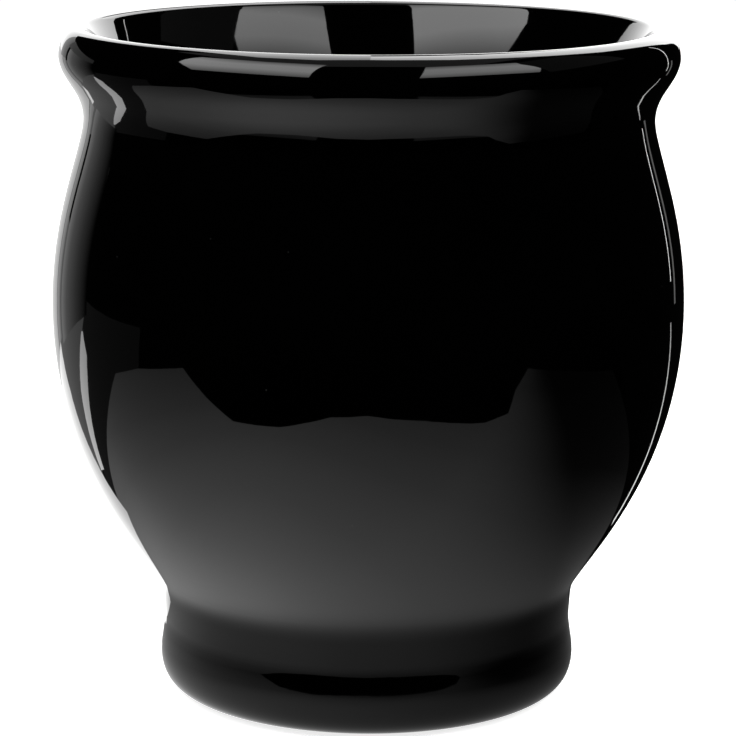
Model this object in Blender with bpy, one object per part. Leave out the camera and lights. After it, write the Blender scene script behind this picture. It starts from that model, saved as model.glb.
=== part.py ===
"""A stoneware cup without a handle: one slip-cast clay body under three coats of black glaze.

Lengths are in metres and +Z is up. The origin lies on the table, under the middle of the foot. The cup is
a turned form, so each piece is an outline of (radius, height) points that is turned about Z.
"""

import math
from typing import NamedTuple

import bmesh
import bpy
from mathutils import Vector

# Radius of the finished outside at each level, from the foot up
EDGE_RADIUS = 0.0267
FOOT_RADIUS = 0.0313
WAIST_RADIUS = 0.0307
ROOT_RADIUS = 0.0312
BELLY_RADIUS = 0.0470
NECK_RADIUS = 0.0421
LIP_RADIUS = 0.0456

# Height of the cup, and the rise of each level above the one before it. The belly takes the rise that is left
HEIGHT = 0.10005
EDGE_RISE = 0.00035
FOOT_RISE = 0.0054
WAIST_RISE = 0.0051
ROOT_RISE = 0.0055
NECK_RISE = 0.0283
LIP_RISE = 0.0090
CREST_RISE = 0.0042

# How tightly the outline bends at each level, as the radius of its curve there
EDGE_BEND = 0.0057
FOOT_BEND = 0.0117
WAIST_BEND = 0.0102
ROOT_BEND = 0.0030
BELLY_BEND = 0.0650
NECK_BEND = 0.0068
LIP_BEND = 0.0040
CREST_BEND = 0.0022
ROOT_LEAN = math.radians(16.5)

# How far the crest of the lip lies inside the lip's widest line, and the brim inside and below the crest
CREST_INSET = 0.0030
BRIM_INSET = 0.0012
BRIM_DROP = 0.0008

# Wall of the casting, the coats on it and the seam between touching pieces
CLAY_WALL = 0.0032
CLAY_FLOOR = 0.0036
GLAZE = 0.00045
SEAM = 0.0002

# Inside of the cup: the slope that flares out to the brim, and the floor
BRIM_LEAN = math.radians(30)
BRIM_BEND = 0.0018
FLOOR_RADIUS = 0.0185
FLOOR_BEND = 0.0090

# Bare standing ring and the recess inside it
RING_WIDTH = 0.0040
RING_CHAMFER = 0.0003
RECESS_DEPTH = 0.0022
RECESS_COVE = 0.0018

# Facets round the cup, and along each stretch of the outline
SIDES = 40
EDGE_STEPS = 3
FOOT_STEPS = 2
WAIST_STEPS = 3
BOWL_STEPS = 7
SHOULDER_STEPS = 5
FLARE_STEPS = 4
LIP_STEPS = 5
BRIM_STEPS = 4
THROAT_STEPS = 3
CORNER_STEPS = 5
COVE_STEPS = 3
HANDLE_ROUNDS = 40
WELD = 0.000001
CREASE = math.radians(40)

# Finishes: colour, roughness
BLACK_GLAZE = ((0.004, 0.004, 0.004, 1.0), 0.05)
BARE_CLAY = ((0.42, 0.36, 0.29, 1.0), 0.80)

UP = Vector((0.0, 1.0))
DOWN = Vector((0.0, -1.0))
OUT = Vector((1.0, 0.0))
IN = Vector((-1.0, 0.0))


class Level(NamedTuple):
    """A place on the outline, the way the outline heads there and the radius of its bend."""

    place: Vector
    heading: Vector
    bend: float


class Sample(NamedTuple):
    """A point of a finished surface and the direction that points out of the wall there."""

    place: Vector
    outward: Vector


def bend_handles(start, end):
    """Lengths of the curve handles that give a cubic curve its bend at both levels."""
    reach = end.place - start.place
    first = reach.length / 3
    last = first
    for _ in range(HANDLE_ROUNDS):
        first_offset = abs(start.heading.cross(reach - last * end.heading))
        last_offset = abs(end.heading.cross(reach - first * start.heading))
        first = (first + math.sqrt(2 / 3 * start.bend * first_offset)) / 2
        last = (last + math.sqrt(2 / 3 * end.bend * last_offset)) / 2
    return first, last


def out_of_wall(heading):
    """The wall lies to the left of the outline, so the way out is to its right."""
    return Vector((heading.y, -heading.x)).normalized()


def sweep(start, end, steps):
    """Samples along the smooth curve between two levels, from the first up to just before the last."""
    first, last = bend_handles(start, end)
    a = start.place
    b = start.place + first * start.heading
    c = end.place - last * end.heading
    d = end.place
    samples = []
    for step in range(steps):
        t = step / steps
        s = 1 - t
        place = s**3 * a + 3 * s**2 * t * b + 3 * s * t**2 * c + t**3 * d
        heading = s**2 * (b - a) + 2 * s * t * (c - b) + t**2 * (d - c)
        samples.append(Sample(place, out_of_wall(heading)))
    return samples


def sunk(samples, depth):
    """The points that lie a given depth inside the wall under each sample."""
    return [sample.place - depth * sample.outward for sample in samples]


def outside_levels():
    """The levels of the finished outside, stacked up from the table."""
    lean = Vector((math.sin(ROOT_LEAN), math.cos(ROOT_LEAN)))
    rise_below = EDGE_RISE + FOOT_RISE + WAIST_RISE + ROOT_RISE
    rise_above = NECK_RISE + LIP_RISE + CREST_RISE
    belly_rise = HEIGHT - rise_below - rise_above
    shape = {
        "edge": (EDGE_RADIUS, EDGE_RISE, OUT, EDGE_BEND),
        "foot": (FOOT_RADIUS, FOOT_RISE, UP, FOOT_BEND),
        "waist": (WAIST_RADIUS, WAIST_RISE, UP, WAIST_BEND),
        "root": (ROOT_RADIUS, ROOT_RISE, lean, ROOT_BEND),
        "belly": (BELLY_RADIUS, belly_rise, UP, BELLY_BEND),
        "neck": (NECK_RADIUS, NECK_RISE, UP, NECK_BEND),
        "lip": (LIP_RADIUS, LIP_RISE, UP, LIP_BEND),
        "crest": (LIP_RADIUS - CREST_INSET, CREST_RISE, IN, CREST_BEND),
    }
    levels = {}
    height = 0.0
    for name, (radius, rise, heading, bend) in shape.items():
        height += rise
        levels[name] = Level(Vector((radius, height)), heading, bend)
    return levels


def finished_surfaces():
    """Samples of the outer coat, foot edge to throat, and of the liner, throat to the middle of the floor."""
    at = outside_levels()
    coat_depth = GLAZE + SEAM
    wall = CLAY_WALL + 2 * coat_depth
    bowl = sweep(at["root"], at["belly"], BOWL_STEPS) + sweep(at["belly"], at["neck"], SHOULDER_STEPS)
    brim_slope = Vector((-math.sin(BRIM_LEAN), -math.cos(BRIM_LEAN)))
    brim = Level(at["crest"].place - Vector((BRIM_INSET, BRIM_DROP)), brim_slope, BRIM_BEND)
    throat = Level(at["neck"].place - wall * OUT, DOWN, at["neck"].bend + wall)

    coat = sweep(at["edge"], at["foot"], EDGE_STEPS)
    coat += sweep(at["foot"], at["waist"], FOOT_STEPS)
    coat += sweep(at["waist"], at["root"], WAIST_STEPS)
    coat += bowl
    coat += sweep(at["neck"], at["lip"], FLARE_STEPS)
    coat += sweep(at["lip"], at["crest"], LIP_STEPS)
    coat += sweep(at["crest"], brim, BRIM_STEPS)
    coat += sweep(brim, throat, THROAT_STEPS)
    coat.append(Sample(throat.place, IN))

    # The inside of the bowl is the outside moved in by the wall, read from the throat down
    inner_bowl = [Sample(s.place - wall * s.outward, -s.outward) for s in reversed(bowl)]
    corner = Level(inner_bowl[-1].place, -at["root"].heading, FLOOR_BEND)
    floor_height = RECESS_DEPTH + 2 * coat_depth + CLAY_FLOOR
    floor = Level(Vector((FLOOR_RADIUS, floor_height)), IN, FLOOR_BEND)
    liner = [Sample(throat.place + SEAM * DOWN, IN)]
    liner += inner_bowl[:-1]
    liner += sweep(corner, floor, CORNER_STEPS)
    liner.append(Sample(floor.place, UP))
    liner.append(Sample(Vector((0.0, floor_height)), UP))
    return coat, liner


def ring_radii():
    """Inner and outer radius of the bare standing ring."""
    outer = EDGE_RADIUS - SEAM
    return outer - RING_WIDTH, outer


def pool_radius():
    """Radius of the glaze pool, which stops where the cove of the recess begins."""
    return ring_radii()[0] - RECESS_COVE - SEAM


def underside():
    """Points of the clay under the foot, from the middle of the recess out to the edge of the outer coat."""
    inner, outer = ring_radii()
    seat = pool_radius() + SEAM
    ceiling = RECESS_DEPTH + GLAZE + SEAM
    cove_start = Level(Vector((seat, RECESS_DEPTH)), OUT, RECESS_COVE)
    cove_end = Level(Vector((inner, RING_CHAMFER)), DOWN, RECESS_COVE)
    ledge = EDGE_RISE + GLAZE + SEAM
    points = [Vector((0.0, ceiling)), Vector((seat, ceiling))]
    points += sunk(sweep(cove_start, cove_end, COVE_STEPS), 0.0)
    points += [
        Vector((inner, RING_CHAMFER)),
        Vector((inner + RING_CHAMFER, 0.0)),
        Vector((outer - RING_CHAMFER, 0.0)),
        Vector((outer, RING_CHAMFER)),
        Vector((outer, ledge)),
    ]
    return points


def finish(name, colour, roughness):
    """A plain opaque material."""
    material = bpy.data.materials.new(name)
    material.use_nodes = True
    shader = material.node_tree.nodes["Principled BSDF"]
    shader.inputs["Base Color"].default_value = colour
    shader.inputs["Roughness"].default_value = roughness
    shader.inputs["Metallic"].default_value = 0.0
    return material


def turned(name, outline, closed, look):
    """A solid of revolution from an outline, which is closed or runs from the axis back to the axis."""
    shape = bmesh.new()
    corners = [shape.verts.new((point.x, 0.0, point.y)) for point in outline]
    edges = [shape.edges.new(pair) for pair in zip(corners, corners[1:])]
    if closed:
        edges.append(shape.edges.new((corners[-1], corners[0])))
    bmesh.ops.spin(
        shape,
        geom=corners + edges,
        cent=(0.0, 0.0, 0.0),
        axis=(0.0, 0.0, 1.0),
        angle=2 * math.pi,
        steps=SIDES,
        use_merge=True,
    )
    bmesh.ops.remove_doubles(shape, verts=shape.verts, dist=WELD)
    bmesh.ops.recalc_face_normals(shape, faces=shape.faces)
    mesh = bpy.data.meshes.new(name)
    shape.to_mesh(mesh)
    shape.free()
    mesh.shade_smooth()
    mesh.set_sharp_from_angle(angle=CREASE)
    mesh.materials.append(finish(name, *look))
    solid = bpy.data.objects.new(name, mesh)
    bpy.context.scene.collection.objects.link(solid)
    return solid


def stoneware_body(coat, liner):
    """The clay casting: the finished form less its coats, with the bare ring under the foot."""
    coat_depth = GLAZE + SEAM
    outline = underside() + sunk(coat, coat_depth) + sunk(liner[1:], coat_depth)
    return turned("stoneware_body", outline, False, BARE_CLAY)


def outer_glaze(coat):
    """The coat outside, from the wiped edge under the foot over the lip to the throat."""
    outline = sunk(coat, 0.0) + sunk(reversed(coat), GLAZE)
    return turned("outer_glaze", outline, True, BLACK_GLAZE)


def liner_glaze(liner):
    """The coat inside, from the throat to the middle of the floor."""
    outline = sunk(reversed(liner), GLAZE) + sunk(liner, 0.0)
    return turned("liner_glaze", outline, False, BLACK_GLAZE)


def base_glaze():
    """The pool of glaze in the recess under the foot, with its lower rim rounded off."""
    edge = pool_radius()
    top = RECESS_DEPTH + GLAZE
    outline = [
        Vector((0.0, top)),
        Vector((edge, top)),
        Vector((edge, top - GLAZE / 2)),
        Vector((edge - GLAZE, RECESS_DEPTH)),
        Vector((0.0, RECESS_DEPTH)),
    ]
    return turned("base_glaze", outline, False, BLACK_GLAZE)


def main():
    for old in list(bpy.data.objects):
        bpy.data.objects.remove(old)
    coat, liner = finished_surfaces()
    stoneware_body(coat, liner)
    outer_glaze(coat)
    liner_glaze(liner)
    base_glaze()


main()
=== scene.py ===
"""The looks of a black glazed stoneware cup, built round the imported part.

Every length is in metres, in the frame of the part: +Z is up and the origin lies under the middle of
the foot. The cup is a turned form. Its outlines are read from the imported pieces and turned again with
a fine mesh.
"""

import math

import bmesh
import bpy
import numpy as np
from mathutils import Matrix, Vector, noise

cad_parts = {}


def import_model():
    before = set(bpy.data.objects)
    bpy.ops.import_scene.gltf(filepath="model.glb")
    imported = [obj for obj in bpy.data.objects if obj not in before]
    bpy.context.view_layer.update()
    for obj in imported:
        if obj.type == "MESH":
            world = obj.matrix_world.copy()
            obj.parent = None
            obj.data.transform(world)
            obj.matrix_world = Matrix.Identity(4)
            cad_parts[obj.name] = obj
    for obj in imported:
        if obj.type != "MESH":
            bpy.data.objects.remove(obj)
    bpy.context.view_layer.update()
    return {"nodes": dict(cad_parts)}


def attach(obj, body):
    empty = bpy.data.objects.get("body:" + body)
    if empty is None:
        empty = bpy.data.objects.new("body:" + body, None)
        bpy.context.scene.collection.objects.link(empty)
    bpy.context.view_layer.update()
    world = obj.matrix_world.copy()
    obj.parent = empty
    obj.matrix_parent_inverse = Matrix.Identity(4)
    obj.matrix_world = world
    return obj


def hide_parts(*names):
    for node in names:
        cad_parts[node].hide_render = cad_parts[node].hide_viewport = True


# Camera, as fitted to the outline of the cup in the photograph
IMAGE_SIZE = 736
FOCAL_PIXELS = 3059.0
SENSOR = 36.0
CAMERA_PLACE = (0.0, -0.450, 0.14175)
CAMERA_PITCH = 0.204
CAMERA_ROLL = 0.005

# Fine mesh: sides round the cup, and the longest and most bent step along an outline
SIDES = 160
LONGEST_STEP = 0.0020
MOST_TURN = math.radians(3.0)

# Steps between two read points of an outline, points on a flat, the step from one kept point to the next on
# the hidden back of the coat, and the angle from which an edge stays sharp
FINE_STEPS = 40
FLAT_STEPS = 7
BACK_SKIP = 3
CREASE = math.radians(32)

# Reading an outline: how near a point lies to the cutting plane or the axis, the digits of a place that
# tell points apart, and what counts as a corner
ON_PLANE = 0.000002
KEY_DIGITS = 6
COAT_CORNER = math.radians(75)
CLAY_CORNER = math.radians(42)

# Glaze coat: its depth, the bead at its edge, and the slow waves that the kiln leaves in it
COAT_DEPTH = 0.00045
COAT_BEAD = 0.00015
WAVE_HEIGHT = 0.000035
WAVE_LENGTH = 0.022
WAVE_SEED = 3
STRAIGHT_DOWN = (0.0, -1.0)

WHITE = (1.0, 1.0, 1.0, 1.0)
BLACK = (0.0, 0.0, 0.0, 1.0)
MATT_ROUGHNESS = 1.0
NO_SHEEN = 0.0
FULL_BUMP = 1.0

# Glaze material. A noise is given by its size, detail and roughness, and stops by level and grey
GLAZE_CLOUD = (0.016, 3.0, 0.5)
GLAZE_GREYS = ((0.3, 0.00005), (0.7, 0.0002))
GLAZE_SPECK_GAP = 0.0065
GLAZE_SPECK_EDGE = ((0.012, 1.0), (0.024, 0.0))
GLAZE_SPECK_COLOUR = (0.02, 0.02, 0.02, 1.0)
GLAZE_MOTTLE = (0.010, 4.0, 0.6)
GLAZE_ROUGHNESS = ((0.3, 0.015), (0.75, 0.045))
GLAZE_RIPPLE = (0.0035, 2.0, 0.5)
GLAZE_RIPPLE_DEPTH = 0.000004
GLAZE_IOR = 1.5

# Sheen of the glaze: on the foot, where it is turned down as painted shade for the shadowed floor
# close to the foot, above it, and the heights between which it changes
FOOT_SHADED_SHEEN = 0.20
BELLY_SHEEN = 0.50
FOOT_SHADE_HEIGHTS = (0.0145, 0.0205)

# Clay material, given in the same way
CLAY_CLOUD = (0.006, 5.0, 0.6)
CLAY_COLOURS = ((0.3, (0.36, 0.30, 0.235, 1.0)), (0.7, (0.47, 0.405, 0.33, 1.0)))
CLAY_SPECK_GAP = 0.0012
CLAY_SPECK_EDGE = ((0.10, 1.0), (0.22, 0.0))
CLAY_SPECK_COLOUR = (0.12, 0.085, 0.06, 1.0)
CLAY_MOTTLE = (0.0008, 4.0, 0.6)
CLAY_ROUGHNESS = ((0.3, 0.75), (0.7, 0.92))
CLAY_GRAIN = (0.0004, 4.0, 0.65)
CLAY_GRAIN_DEPTH = 0.00004

# Lamps: azimuth from the camera, to its right, and elevation in degrees, seen from a place in the mouth of
# the cup, then size and power
MOUTH_PLACE = (0.0, 0.0, 0.090)
LAMP_REACH = 0.90
LAMPS = {
    "lamp_left": (-52, 42, (0.70, 0.55), 5.0),
    "lamp_right": (46, 38, (0.60, 0.40), 4.0),
    "lamp_rear": (146, 42, (0.60, 0.80), 4.0),
    "lamp_top": (180, 68, (0.90, 0.70), 6.0),
}

# The same lamps as the glaze shows them, and a dim card between two of them: corners by azimuth and
# elevation, and light from the lowest corner to the highest
CARD_REACH = 1.0
CARDS = {
    "card_left": (
        ((-22, 24), (-24, 62), (-60, 62), (-97, 54), (-83, 36), (-69, 24)),
        ((0.0, 1.5), (0.35, 4.2), (0.65, 4.4), (1.0, 1.4)),
    ),
    "card_right": (
        ((18, 24), (27, 54), (50, 54), (80, 49), (73, 37), (66, 24)),
        ((0.0, 1.5), (0.30, 3.2), (0.65, 3.6), (1.0, 1.2)),
    ),
    "card_rear": (
        (
            (158.5, 1.5),
            (153, 7.5),
            (148, 12.5),
            (141, 25),
            (128, 40),
            (120, 54),
            (100, 74),
            (140, 86),
            (180, 86),
            (180, 48),
            (168, 38),
            (171, 10),
            (173, -4),
            (164, -3),
        ),
        ((0.0, 1.5), (0.15, 2.4), (0.30, 3.6), (0.45, 4.3), (0.66, 6.0), (1.0, 7.0)),
    ),
    "card_top": (
        (
            (-180, 12),
            (-158, 14),
            (-158, 26),
            (-162, 36),
            (-149, 54),
            (-120, 68),
            (-90, 80),
            (-140, 86),
            (-180, 86),
        ),
        ((0.0, 2.4), (0.35, 2.6), (0.6, 4.2), (1.0, 4.0)),
    ),
    "card_dim": (
        ((70, 22), (70, 50), (112, 50), (112, 22)),
        ((0.0, 0.06), (1.0, 0.06)),
    ),
}

# Dark glossy table in front of the cup, as the glaze shows it
TABLE_OUTLINE = ((-1.2, -1.2), (1.2, -1.2), (1.2, 0.02), (-1.2, 0.02))
TABLE_LEVEL = 0
TABLE_ROUGHNESS = 0.05
TABLE_IOR = 1.5

# White sheet on the table, and how its light falls off from its bright place
SHEET_OUTLINE = (
    (-0.232, -0.117),
    (-0.095, -0.103),
    (-0.062, -0.120),
    (-0.030, -0.150),
    (0.0, -0.156),
    (0.045, -0.140),
    (0.085, -0.113),
    (0.110, -0.110),
    (0.150, -0.135),
    (0.225, -0.166),
    (0.235, -0.100),
    (0.235, 0.0),
    (0.060, 0.040),
    (-0.045, 0.035),
    (-0.210, 0.015),
    (-0.232, -0.030),
)
SHEET_LEVEL = 2
SHEET_BRIGHT_PLACE = (-0.019, -0.021)
SHEET_FADE_TURN = math.radians(56)
SHEET_FADE = (0.294, 0.208)
SHEET_BRIGHTEST = 1.35
SHEET_LIGHT = (
    (0.0, 0.15),
    (0.167, 0.19),
    (0.333, 0.22),
    (0.5, 0.27),
    (0.667, 0.39),
    (0.833, 0.615),
    (1.0, 1.0),
)

# Shade on the right of the sheet: where it is measured from, the turn of its edge, where across the edge it
# starts and is full, the share of light left in it near the cup and away from it, and how far those are
SHEET_SHADE_PLACE = (0.0, 0.0)
SHEET_SHADE_SCALE = (1.0, 1.0)
SHEET_SHADE_TURN = math.radians(56)
SHEET_SHADE = (-0.042, 0.028)
SHEET_SHADE_LIGHT = (0.19, 0.05)
SHEET_SHADE_REACH = (0.050, 0.092)

# Other patches of painted light on the table that the glaze shows, for places lit brighter or dimmer:
# outline, level above the table and light
PATCHES = {
    "patch_left": (
        ((-0.045, 0.02), (-0.12, 0.02), (-0.21, -0.03), (-0.50, -0.05), (-0.50, 0.25), (-0.149, 0.085)),
        1,
        0.04,
    ),
    "patch_rear": (
        ((-0.045, 0.025), (-0.149, 0.085), (-0.50, 0.25), (-0.9, 1.2), (0.02, 1.2), (0.02, 0.05)),
        1,
        0.30,
    ),
    "glare_rear": (
        (
            (-0.066, 0.024),
            (-0.092, 0.064),
            (-0.129, 0.124),
            (-0.165, 0.205),
            (-0.188, 0.257),
            (0.0, 0.257),
            (0.0, 0.04),
        ),
        3,
        1.9,
    ),
    "streak_left": (
        (
            (-0.086, 0.041),
            (-0.175, 0.074),
            (-0.225, 0.096),
            (-0.290, 0.148),
            (-0.286, 0.153),
            (-0.149, 0.086),
            (-0.084, 0.048),
        ),
        4,
        2.0,
    ),
    "streak_right": (
        ((0.060, 0.046), (0.245, 0.231), (0.242, 0.234), (0.057, 0.049)),
        4,
        1.8,
    ),
}
PATCH_LIFT = 0.0001

# Upright cards behind the cup: left and right end on the table, lowest and highest edge, and light from
# left to right
UPRIGHTS = {
    "screen": ((-0.125, 0.192), (0.0585, 0.133), 0.09, 0.155, ((0.0, 1.8), (1.0, 3.4))),
    "screen_foot": ((-0.125, 0.192), (0.0585, 0.133), 0.0, 0.09, ((0.0, 1.0), (1.0, 1.0))),
    "screen_end": (
        (-0.180, 0.210),
        (-0.125, 0.192),
        0.0,
        0.085,
        ((0.0, 0.5), (0.5, 0.7), (0.6, 0.2), (0.66, 1.0), (1.0, 1.0)),
    ),
    "screen_gap": ((-0.180, 0.210), (-0.125, 0.192), 0.085, 0.155, ((0.0, 0.3), (1.0, 0.6))),
    "grey_card": (
        (-0.389, 0.184),
        (-0.180, 0.190),
        0.0,
        0.125,
        ((0.0, 0.0), (0.08, 0.02), (0.48, 0.15), (0.83, 0.30), (1.0, 0.53)),
    ),
    "grey_top": ((-0.389, 0.184), (-0.160, 0.190), 0.125, 0.155, ((0.0, 0.12), (1.0, 0.20))),
    "strip_right": ((0.3880, 0.4166), (0.3920, 0.4134), 0.0, 0.32, ((0.0, 4.5), (1.0, 4.5))),
    "grey_strip": ((0.2548, 0.3084), (0.2652, 0.3006), 0.0, 0.09, ((0.0, 0.35), (1.0, 0.35))),
}

# Floor: half its width, its height just under the foot, its colour, and the light that only the camera
# sees in it
FLOOR_REACH = 3.0
FLOOR_HEIGHT = -0.00005
FLOOR_COLOUR = (0.80, 0.80, 0.80, 1.0)
FLOOR_GLOW = 0.80

# Dark room and its dim square ceiling, as the glaze shows them
ROOM_SIDES = 32
ROOM_RADIUS = 4.0
ROOM_BOTTOM = -0.6
ROOM_TOP = 3.0
ROOM_LIGHT = 0.002
CEILING_REACH = 1.5
CEILING_HEIGHT = 2.6
CEILING_LIGHT = 0.22

# World: the white that is seen, and the fill light on the cup
WORLD_LEVEL = 1.0
FILL_LEVEL = 0.05


# Outlines

def meridian(node):
    """The outline of a turned node on the side of +X, as (radius, height) points in order."""
    mesh = node.data
    links = {}
    for edge in mesh.edges:
        ends = [mesh.vertices[index].co for index in edge.vertices]
        if any(abs(end.y) > ON_PLANE or end.x < ON_PLANE for end in ends):
            continue
        a, b = [(round(end.x, KEY_DIGITS), round(end.z, KEY_DIGITS)) for end in ends]
        links.setdefault(a, {})[b] = True
        links.setdefault(b, {})[a] = True
    loose = [point for point, near in links.items() if len(near) == 1]
    path = [min(loose or links, key=lambda point: (point[1], point[0]))]
    while True:
        onward = [point for point in links[path[-1]] if point not in path]
        if not onward:
            return np.array(path)
        path.append(onward[0])


def to_axis(point):
    """Points on the flat from a point of an outline in to the axis."""
    radii = np.linspace(point[0], 0.0, FLAT_STEPS)[1:]
    return np.column_stack([radii, np.full_like(radii, point[1])])


def turns(points, closed):
    """How far an outline turns at each of its points. The ends of an open one count as corners."""
    before = np.roll(points, 1, axis=0)
    after = np.roll(points, -1, axis=0)
    first = points - before
    second = after - points
    cross = first[:, 0] * second[:, 1] - first[:, 1] * second[:, 0]
    dot = (first * second).sum(axis=1)
    angle = np.abs(np.arctan2(cross, dot))
    if not closed:
        angle[[0, -1]] = math.pi
    return angle


def runs(points, closed, corner):
    """The stretches of an outline between its corners."""
    corners = np.flatnonzero(turns(points, closed) > corner)
    if closed:
        points = np.roll(points, -corners[0], axis=0)
        points = np.vstack([points, points[:1]])
        corners = np.append(corners - corners[0], len(points) - 1)
    return [points[a : b + 1] for a, b in zip(corners, corners[1:])]


def spline(points):
    """Closely spaced points on the natural cubic spline through an outline's points."""
    if len(points) < 3:
        return points
    gaps = np.linalg.norm(np.diff(points, axis=0), axis=1)
    count = len(points)
    system = np.eye(count)
    right = np.zeros((count, 2))
    slopes = np.diff(points, axis=0) / gaps[:, None]
    for i in range(1, count - 1):
        system[i, i - 1 : i + 2] = gaps[i - 1], 2 * (gaps[i - 1] + gaps[i]), gaps[i]
        right[i] = 6 * (slopes[i] - slopes[i - 1])
    bend = np.linalg.solve(system, right)
    fine = []
    for i, gap in enumerate(gaps):
        for t in np.arange(FINE_STEPS) / FINE_STEPS * gap:
            start_bend = bend[i] * ((gap - t) ** 3 / (6 * gap) - gap * (gap - t) / 6)
            end_bend = bend[i + 1] * (t**3 / (6 * gap) - gap * t / 6)
            line = points[i] * (gap - t) / gap + points[i + 1] * t / gap
            fine.append(line + start_bend + end_bend)
    fine.append(points[-1])
    return np.array(fine)


def thinned(fine):
    """The points of a close outline that keep each step short and each turn slight."""
    kept = [fine[0]]
    length = 0.0
    turn = 0.0
    for before, here, after in zip(fine, fine[1:], fine[2:]):
        step = here - before
        onward = after - here
        length += np.hypot(*step)
        turn += abs(math.atan2(step[0] * onward[1] - step[1] * onward[0], step @ onward))
        if length > LONGEST_STEP or turn > MOST_TURN:
            kept.append(here)
            length = 0.0
            turn = 0.0
    kept.append(fine[-1])
    return np.array(kept)


def smooth_solid(points, corner):
    """An outline carried in to the axis at both ends, with its corners kept and the rest made smooth."""
    points = np.vstack([to_axis(points[0])[::-1], points, to_axis(points[-1])])
    stretches = [thinned(spline(run)) for run in runs(points, False, corner)]
    return np.vstack([stretch[:-1] for stretch in stretches] + [stretches[-1][-1:]])


def coat_face(outer, liner):
    """The seen face of the glaze, from the middle of the floor over the lip and down to the foot."""
    outer_side = runs(outer, True, COAT_CORNER)
    outer_side = max(outer_side, key=lambda run: (len(run), run[:, 0].max()))
    if outer_side[0][1] > outer_side[-1][1]:
        outer_side = outer_side[::-1]
    liner_side = runs(liner, False, COAT_CORNER)
    liner_side = min(liner_side, key=lambda run: (-len(run), run[:, 0].max()))
    if liner_side[0][1] < liner_side[-1][1]:
        liner_side = liner_side[::-1]
    seen = np.vstack([outer_side, liner_side[1:], to_axis(liner_side[-1])])
    return thinned(spline(seen[::-1]))


def coat_outline(outer, liner):
    """The glaze outside and inside as one skin: its seen face, and back along the wall under it."""
    face = coat_face(outer, liner)
    ahead = np.gradient(face, axis=0)
    ahead /= np.linalg.norm(ahead, axis=1)[:, None]
    into_wall = np.column_stack([ahead[:, 1], -ahead[:, 0]])
    into_wall[0] = STRAIGHT_DOWN
    back = face + COAT_DEPTH * into_wall
    edge = (face[-1] + back[-1]) / 2 - (COAT_BEAD, 0.0)
    keep = list(range(0, len(back) - 1, BACK_SKIP)) + [len(back) - 1]
    return np.vstack([face, [edge], back[keep][::-1]])


# Meshes

def link(name, data):
    """A new object in the scene."""
    thing = bpy.data.objects.new(name, data)
    bpy.context.scene.collection.objects.link(thing)
    return thing


def lathe(name, outline):
    """A closed mesh turned from an outline that runs from the axis back to the axis."""
    vertices = []
    rings = []
    for radius, height in outline:
        if radius < ON_PLANE:
            rings.append([len(vertices)] * SIDES)
            vertices.append((0.0, 0.0, height))
            continue
        rings.append(list(range(len(vertices), len(vertices) + SIDES)))
        for side in range(SIDES):
            angle = 2 * math.pi * side / SIDES
            vertices.append((radius * math.cos(angle), radius * math.sin(angle), height))
    faces = []
    for low, high in zip(rings, rings[1:]):
        for side in range(SIDES):
            onward = (side + 1) % SIDES
            corners = (low[side], low[onward], high[onward], high[side])
            faces.append(tuple(dict.fromkeys(corners)))
    mesh = bpy.data.meshes.new(name)
    mesh.from_pydata(vertices, [], faces)
    shape = bmesh.new()
    shape.from_mesh(mesh)
    bmesh.ops.recalc_face_normals(shape, faces=shape.faces)
    shape.to_mesh(mesh)
    shape.free()
    mesh.shade_smooth()
    mesh.set_sharp_from_angle(angle=CREASE)
    return link(name, mesh)


def wave(piece):
    """Gives a coat the slow waves of a fired glaze, the same on both of its faces."""
    noise.seed_set(WAVE_SEED)
    for vertex in piece.data.vertices:
        vertex.co += WAVE_HEIGHT * noise.noise_vector(vertex.co / WAVE_LENGTH)


def show(name, outline, nodes, material):
    """One finished piece, turned from its outline, in place of its CAD nodes."""
    piece = lathe(name, outline)
    piece.data.materials.append(material)
    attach(piece, "root")
    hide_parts(*nodes)
    return piece


# Materials

def grey(level):
    return (level, level, level, 1.0)


def greys(stops):
    """Stops of (level, grey) with each grey as a colour."""
    return [(level, grey(light)) for level, light in stops]


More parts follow.
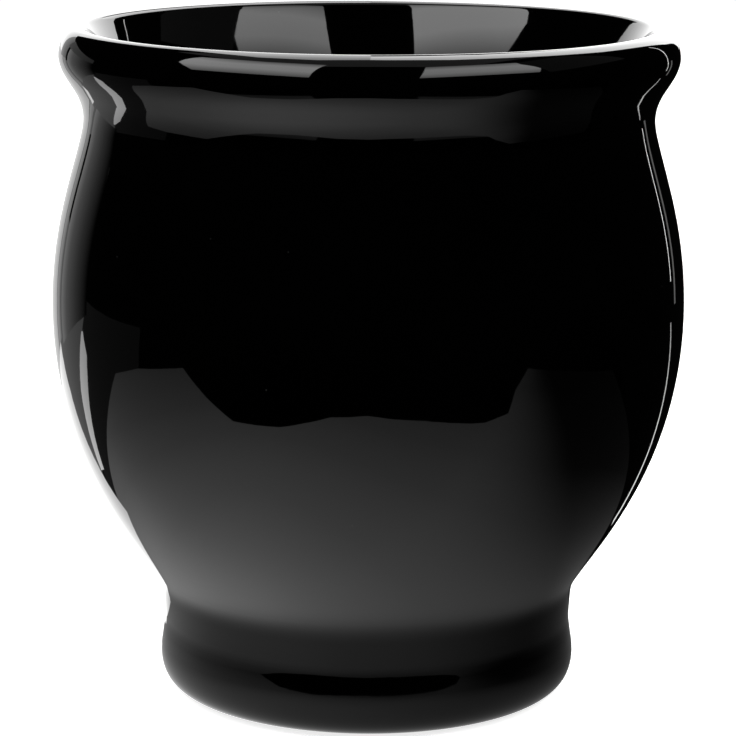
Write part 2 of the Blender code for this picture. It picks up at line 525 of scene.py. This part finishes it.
class Graph:
    """The node tree of a new material, with short calls for adding and joining nodes."""

    def __init__(self, name):
        self.material = bpy.data.materials.new(name)
        self.material.use_nodes = True
        self.tree = self.material.node_tree
        self.shader = self.tree.nodes["Principled BSDF"]
        self.place = self.add("ShaderNodeTexCoord").outputs["Object"]

    def add(self, kind, **values):
        node = self.tree.nodes.new(kind)
        for name, value in values.items():
            setattr(node, name, value)
        return node

    def join(self, source, target):
        self.tree.links.new(source, target)

    def shade(self, name, source):
        """Joins a source to an input of the shader."""
        self.join(source, self.shader.inputs[name])

    def fix(self, **values):
        """Sets inputs of the shader to plain values. An underscore stands for a space in a name."""
        for name, value in values.items():
            self.shader.inputs[name.replace("_", " ")].default_value = value

    def noise(self, size, detail, roughness):
        """Cloudy noise with features of a given size."""
        node = self.add("ShaderNodeTexNoise")
        self.join(self.place, node.inputs["Vector"])
        node.inputs["Scale"].default_value = 1 / size
        node.inputs["Detail"].default_value = detail
        node.inputs["Roughness"].default_value = roughness
        return node.outputs["Fac"]

    def cells(self, size):
        """The distance to the middle of the nearest of many scattered cells, in cell sizes."""
        node = self.add("ShaderNodeTexVoronoi")
        self.join(self.place, node.inputs["Vector"])
        node.inputs["Scale"].default_value = 1 / size
        return node.outputs["Distance"]

    def along(self, place, axis):
        """How far a place lies along an axis."""
        node = self.add("ShaderNodeSeparateXYZ")
        self.join(place, node.inputs["Vector"])
        return node.outputs[axis]

    def span(self, source, ends, low, high, kind="LINEAR"):
        """A node whose result goes from low to high as a source goes from one end to the other."""
        node = self.add("ShaderNodeMapRange", interpolation_type=kind)
        self.join(source, node.inputs["Value"])
        node.inputs["From Min"].default_value, node.inputs["From Max"].default_value = ends
        node.inputs["To Min"].default_value = low
        node.inputs["To Max"].default_value = high
        return node

    def ramp(self, source, stops):
        """A colour for each level of a source, from (level, colour) stops."""
        node = self.add("ShaderNodeValToRGB")
        self.join(source, node.inputs["Fac"])
        elements = node.color_ramp.elements
        for element, (level, colour) in zip(elements, stops):
            element.position = level
            element.color = colour
        for level, colour in stops[2:]:
            elements.new(level).color = colour
        return node.outputs["Color"]

    def over(self, share, low, high):
        """One colour laid over another, by a share from 0 to 1."""
        node = self.add("ShaderNodeMix", data_type="RGBA")
        self.join(share, node.inputs["Factor"])
        self.join(low, node.inputs["A"])
        node.inputs["B"].default_value = high
        return node.outputs["Result"]

    def bump(self, height, depth):
        """Fine relief of a given depth."""
        node = self.add("ShaderNodeBump")
        self.join(height, node.inputs["Height"])
        node.inputs["Distance"].default_value = depth
        node.inputs["Strength"].default_value = FULL_BUMP
        return node.outputs["Normal"]


def black_glaze():
    """Glossy black with faint clouds, a few pale specks, a fine ripple, and a sheen turned down on the foot
    as painted shade.
    """
    graph = Graph("black_glaze")
    cloud = graph.ramp(graph.noise(*GLAZE_CLOUD), greys(GLAZE_GREYS))
    speck = graph.ramp(graph.cells(GLAZE_SPECK_GAP), greys(GLAZE_SPECK_EDGE))
    graph.shade("Base Color", graph.over(speck, cloud, GLAZE_SPECK_COLOUR))
    graph.shade("Roughness", graph.ramp(graph.noise(*GLAZE_MOTTLE), greys(GLAZE_ROUGHNESS)))
    graph.shade("Normal", graph.bump(graph.noise(*GLAZE_RIPPLE), GLAZE_RIPPLE_DEPTH))
    # Painted shade: the foot reflects less, standing for the shadowed floor close to it.
    height = graph.along(graph.place, "Z")
    shaded_foot_sheen = graph.span(height, FOOT_SHADE_HEIGHTS, FOOT_SHADED_SHEEN, BELLY_SHEEN, "SMOOTHSTEP")
    graph.shade("Specular IOR Level", shaded_foot_sheen.outputs["Result"])
    graph.fix(IOR=GLAZE_IOR)
    return graph.material


def bare_clay():
    """Rough fired clay, cloudy, with dark specks and a fine grain."""
    graph = Graph("bare_clay")
    cloud = graph.ramp(graph.noise(*CLAY_CLOUD), CLAY_COLOURS)
    speck = graph.ramp(graph.cells(CLAY_SPECK_GAP), greys(CLAY_SPECK_EDGE))
    graph.shade("Base Color", graph.over(speck, cloud, CLAY_SPECK_COLOUR))
    graph.shade("Roughness", graph.ramp(graph.noise(*CLAY_MOTTLE), greys(CLAY_ROUGHNESS)))
    graph.shade("Normal", graph.bump(graph.noise(*CLAY_GRAIN), CLAY_GRAIN_DEPTH))
    return graph.material


def table_gloss():
    """The dark gloss of the table."""
    graph = Graph("table")
    graph.fix(Base_Color=BLACK, Roughness=TABLE_ROUGHNESS, IOR=TABLE_IOR)
    return graph.material


def floor_white():
    """Matt white that the camera sees as a white ground, with the shadow of the cup kept in it."""
    graph = Graph("floor_white")
    graph.fix(Base_Color=FLOOR_COLOUR, Roughness=MATT_ROUGHNESS, Specular_IOR_Level=NO_SHEEN)
    graph.fix(Emission_Color=WHITE)
    path = graph.add("ShaderNodeLightPath")
    glow_part = graph.add("ShaderNodeMath", operation="MULTIPLY")
    graph.join(path.outputs["Is Camera Ray"], glow_part.inputs[0])
    glow_part.inputs[1].default_value = FLOOR_GLOW
    graph.shade("Emission Strength", glow_part.outputs["Value"])
    return graph.material


def emitter(name, strength):
    """A node tree whose shader is a plain white light."""
    graph = Graph(name)
    graph.tree.nodes.remove(graph.shader)
    graph.shader = graph.add("ShaderNodeEmission")
    graph.fix(Strength=strength)
    surface = graph.tree.nodes["Material Output"].inputs["Surface"]
    graph.join(graph.shader.outputs["Emission"], surface)
    return graph


def glow(name, strength):
    """A plain white light as a material."""
    return emitter(name, strength).material


def card_glow(name, axis, ends, stops):
    """The light of a card, which changes along an axis from one end to the other."""
    brightest = max(light for _, light in stops)
    graph = emitter(name, brightest)
    share = graph.span(graph.along(graph.place, axis), ends, 0.0, 1.0)
    shares = [(level, light / brightest) for level, light in stops]
    graph.shade("Color", graph.ramp(share.outputs["Result"], greys(shares)))
    return graph.material


def turned_place(graph, place, turn, size):
    """Places on the table measured from a place, along axes that are turned and scaled."""
    fit = graph.add("ShaderNodeMapping", vector_type="TEXTURE")
    fit.inputs["Location"].default_value = (*place, 0.0)
    fit.inputs["Rotation"].default_value = (0.0, 0.0, turn)
    fit.inputs["Scale"].default_value = (*size, 1.0)
    graph.join(graph.place, fit.inputs["Vector"])
    return fit.outputs["Vector"]


def sheet_fall(graph):
    """The share of the sheet's light at each place, which falls off from its bright place."""
    pool = graph.add("ShaderNodeTexGradient", gradient_type="SPHERICAL")
    place = turned_place(graph, SHEET_BRIGHT_PLACE, SHEET_FADE_TURN, SHEET_FADE)
    graph.join(place, pool.inputs["Vector"])
    return graph.ramp(pool.outputs["Fac"], greys(SHEET_LIGHT))


def sheet_strength(graph):
    """The strength of the sheet's light, which a shade on the right takes down, most away from the cup."""
    reach = graph.add("ShaderNodeVectorMath", operation="LENGTH")
    graph.join(graph.place, reach.inputs[0])
    near, far = [SHEET_BRIGHTEST * light for light in SHEET_SHADE_LIGHT]
    shaded = graph.span(reach.outputs["Value"], SHEET_SHADE_REACH, near, far)
    place = turned_place(graph, SHEET_SHADE_PLACE, SHEET_SHADE_TURN, SHEET_SHADE_SCALE)
    across = graph.along(place, "X")
    strength = graph.span(across, SHEET_SHADE, SHEET_BRIGHTEST, near, "SMOOTHSTEP")
    graph.join(shaded.outputs["Result"], strength.inputs["To Max"])
    return strength.outputs["Result"]


def sheet_glow():
    """The matt white sheet, whose light falls off from its bright place and is shaded to the right."""
    graph = Graph("sheet")
    graph.fix(Base_Color=BLACK, Specular_IOR_Level=NO_SHEEN)
    graph.shade("Emission Color", sheet_fall(graph))
    graph.shade("Emission Strength", sheet_strength(graph))
    return graph.material


# Studio

def outward(azimuth, elevation):
    """The direction at an azimuth from the camera, to its right, and an elevation, both in degrees."""
    across = math.radians(azimuth)
    up = math.radians(elevation)
    level = Vector((math.sin(across), -math.cos(across), 0.0))
    return math.cos(up) * level + Vector((0.0, 0.0, math.sin(up)))


def lamp(name, azimuth, elevation, size, power):
    """A soft lamp that faces the mouth of the cup. A card stands for it in the glaze."""
    light = bpy.data.lights.new(name, "AREA")
    light.shape = "RECTANGLE"
    light.size, light.size_y = size
    light.energy = power
    out = outward(azimuth, elevation)
    box = link(name, light)
    box.location = Vector(MOUTH_PLACE) + LAMP_REACH * out
    box.rotation_euler = out.to_track_quat("Z", "Y").to_euler()
    box.visible_camera = False
    box.visible_glossy = False


def stage_piece(name, corners, faces, material):
    """A piece of the stage, from its corners and faces."""
    mesh = bpy.data.meshes.new(name)
    mesh.from_pydata(corners, [], faces)
    mesh.materials.append(material)
    piece = link(name, mesh)
    return piece


def flat_piece(name, corners, material):
    """A flat piece of the stage."""
    return stage_piece(name, corners, [range(len(corners))], material)


def reflected_only(piece):
    """Keeps a piece of the studio out of everything but the reflections in the glaze."""
    piece.visible_camera = False
    piece.visible_diffuse = False
    piece.visible_transmission = False
    piece.visible_volume_scatter = False
    piece.visible_shadow = False


def lamp_card(name, directions, stops):
    """A lamp as the glaze shows it, with its corners at given azimuths and elevations."""
    corners = [Vector(MOUTH_PLACE) + CARD_REACH * outward(*direction) for direction in directions]
    heights = [corner.z for corner in corners]
    material = card_glow(name, "Z", (min(heights), max(heights)), stops)
    reflected_only(flat_piece(name, corners, material))


def upright(name, left, right, low, high, stops):
    """An upright card between two places on the table."""
    corners = [(*left, low), (*right, low), (*right, high), (*left, high)]
    material = card_glow(name, "X", (left[0], right[0]), stops)
    reflected_only(flat_piece(name, corners, material))


def patch(name, outline, level, material):
    """A patch on the table that the glaze shows."""
    height = FLOOR_HEIGHT + level * PATCH_LIFT
    reflected_only(flat_piece(name, [(x, y, height) for x, y in outline], material))


def level_square(reach, height):
    """The corners of a level square round the axis of the cup."""
    return [
        (-reach, -reach, height),
        (reach, -reach, height),
        (reach, reach, height),
        (-reach, reach, height),
    ]


def floor():
    """The white floor, which the glaze doesn't show."""
    ground = flat_piece("floor", level_square(FLOOR_REACH, FLOOR_HEIGHT), floor_white())
    ground.visible_glossy = False
    ground.visible_shadow = False


def dark_room():
    """A dark round room with a dim ceiling, which only the glaze reflects."""
    ring = [2 * math.pi * side / ROOM_SIDES for side in range(ROOM_SIDES)]
    corners = []
    for height in (ROOM_BOTTOM, ROOM_TOP):
        corners += [(ROOM_RADIUS * math.cos(a), ROOM_RADIUS * math.sin(a), height) for a in ring]
    faces = [tuple(range(ROOM_SIDES)), tuple(range(ROOM_SIDES, 2 * ROOM_SIDES))]
    for side in range(ROOM_SIDES):
        onward = (side + 1) % ROOM_SIDES
        faces.append((side, onward, ROOM_SIDES + onward, ROOM_SIDES + side))
    reflected_only(stage_piece("room", corners, faces, glow("room", ROOM_LIGHT)))
    ceiling = level_square(CEILING_REACH, CEILING_HEIGHT)
    reflected_only(flat_piece("ceiling", ceiling, glow("ceiling", CEILING_LIGHT)))


def studio():
    """The lamps, the floor, and what the glaze reflects."""
    for name, values in LAMPS.items():
        lamp(name, *values)
    for name, values in CARDS.items():
        lamp_card(name, *values)
    floor()
    dark_room()
    patch("table", TABLE_OUTLINE, TABLE_LEVEL, table_gloss())
    patch("sheet", SHEET_OUTLINE, SHEET_LEVEL, sheet_glow())
    for name, (outline, level, light) in PATCHES.items():
        patch(name, outline, level, glow(name, light))
    for name, values in UPRIGHTS.items():
        upright(name, *values)


def white_world():
    """A white surround for the camera, for reflections and through glass, and a faint fill elsewhere."""
    world = bpy.data.worlds.new("studio")
    world.use_nodes = True
    tree = world.node_tree
    path = tree.nodes.new("ShaderNodeLightPath")
    seen = path.outputs["Is Camera Ray"]
    for ray in ("Is Glossy Ray", "Is Transmission Ray"):
        either = tree.nodes.new("ShaderNodeMath")
        either.operation = "MAXIMUM"
        tree.links.new(seen, either.inputs[0])
        tree.links.new(path.outputs[ray], either.inputs[1])
        seen = either.outputs["Value"]
    level = tree.nodes.new("ShaderNodeMix")
    tree.links.new(seen, level.inputs["Factor"])
    level.inputs["A"].default_value = FILL_LEVEL
    level.inputs["B"].default_value = WORLD_LEVEL
    ground = tree.nodes["Background"]
    ground.inputs["Color"].default_value = WHITE
    tree.links.new(level.outputs["Result"], ground.inputs["Strength"])
    bpy.context.scene.world = world


def camera():
    """The camera of the photograph."""
    lens = bpy.data.cameras.new("camera")
    lens.sensor_width = SENSOR
    lens.lens = FOCAL_PIXELS * SENSOR / IMAGE_SIZE
    eye = link("camera", lens)
    tilt = Matrix.Rotation(math.pi / 2 - CAMERA_PITCH, 4, "X")
    roll = Matrix.Rotation(CAMERA_ROLL, 4, "Z")
    eye.matrix_world = Matrix.Translation(CAMERA_PLACE) @ tilt @ roll
    bpy.context.scene.camera = eye


def cup(nodes):
    """The three finished pieces: the glaze inside and outside, the clay, and the pool under the foot."""
    outline = {name: meridian(node) for name, node in nodes.items()}
    skin = coat_outline(outline["outer_glaze"], outline["liner_glaze"])
    clay = smooth_solid(outline["stoneware_body"], CLAY_CORNER)
    pool = smooth_solid(outline["base_glaze"], COAT_CORNER)
    glaze = black_glaze()
    coat = show("glaze_coat", skin, ["outer_glaze", "liner_glaze"], glaze)
    wave(coat)
    show("clay_body", clay, ["stoneware_body"], bare_clay())
    show("base_pool", pool, ["base_glaze"], glaze)


def main():
    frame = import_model()
    cup(frame["nodes"])
    camera()
    white_world()
    studio()
    bpy.context.scene.view_settings.view_transform = "Standard"


main()
